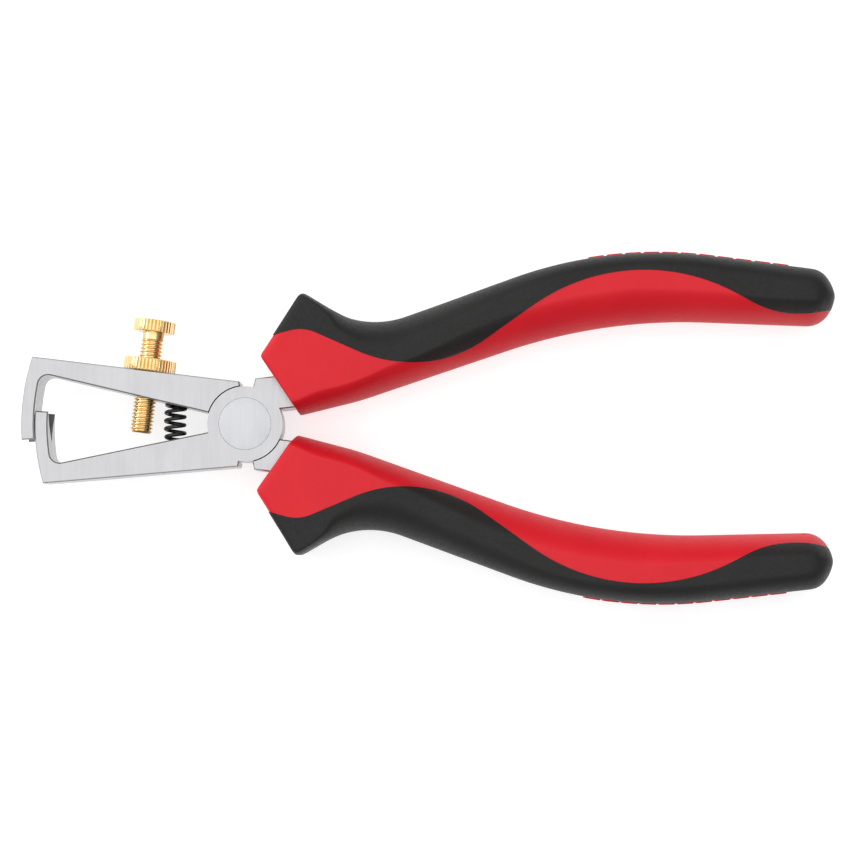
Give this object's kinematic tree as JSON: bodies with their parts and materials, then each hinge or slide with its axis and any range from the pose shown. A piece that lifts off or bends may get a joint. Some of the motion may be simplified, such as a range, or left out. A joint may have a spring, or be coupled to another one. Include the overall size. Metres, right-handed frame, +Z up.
{
  "type": "wire stripper",
  "caption": "Plier-type wire stripper with V-notched stripping jaws, a brass adjusting screw and lock nut, an opening spring and two-colour curved grips.",
  "frame": {"origin": "under the middle of the tool, on the surface that the grips lie on", "axes": "+X from the jaws to the ends of the handles, +Y across the tool towards the adjusting screw, +Z up, along the pivot"},
  "size_m": [0.1756, 0.0774, 0.018],
  "materials": {
    "lever_steel": "ground and satin chrome plated forged steel",
    "rivet_steel": "ground flush with the lap",
    "spring_steel": "black oxide spring wire, oiled",
    "screw_brass": "bright turned brass, knurled rims",
    "grip_core_red": "hard red plastic, fine matt texture",
    "grip_skin_black": "soft black thermoplastic, fine matt texture"
  },
  "bodies": {
    "lower_jaw": {"lower_jaw_lever": "lever_steel", "upper_grip_core": "grip_core_red", "upper_grip_skin": "grip_skin_black", "pivot_rivet": "rivet_steel", "opening_spring": "spring_steel"},
    "upper_jaw": {"upper_jaw_lever": "lever_steel", "lower_grip_core": "grip_core_red", "lower_grip_skin": "grip_skin_black"},
    "screw": {"adjusting_screw": "screw_brass"},
    "head": {"screw_head": "screw_brass"},
    "nut": {"lock_nut": "screw_brass"}
  },
  "joints": [
    {"name": "jaw_pivot", "type": "hinge", "parent": "lower_jaw", "child": "upper_jaw", "pos_m": [-0.0396, 0, 0.009], "axis": [0, 0, 1], "range_deg": [-18, 5.9], "stiffness_Nm_per_rad": 0.65, "deforming": ["opening_spring"]},
    {"name": "screw_feed", "type": "slide", "parent": "upper_jaw", "child": "screw", "axis": [0.112, 0.9937, 0], "range_m": [-0.00024, 0.00599]},
    {"name": "screw_turn", "type": "hinge", "parent": "screw", "child": "head", "pos_m": [-0.0601, 0.01995, 0.009], "axis": [0.112, 0.9937, 0], "range_deg": [-112.5, 2700]},
    {"name": "nut_turn", "type": "hinge", "parent": "upper_jaw", "child": "nut", "pos_m": [-0.06106, 0.01141, 0.009], "axis": [0.112, 0.9937, 0], "continuous": true}
  ],
  "couplings": [
    {"joint": "screw_turn", "follows": "screw_feed", "rad_per_m": 7854}
  ]
}
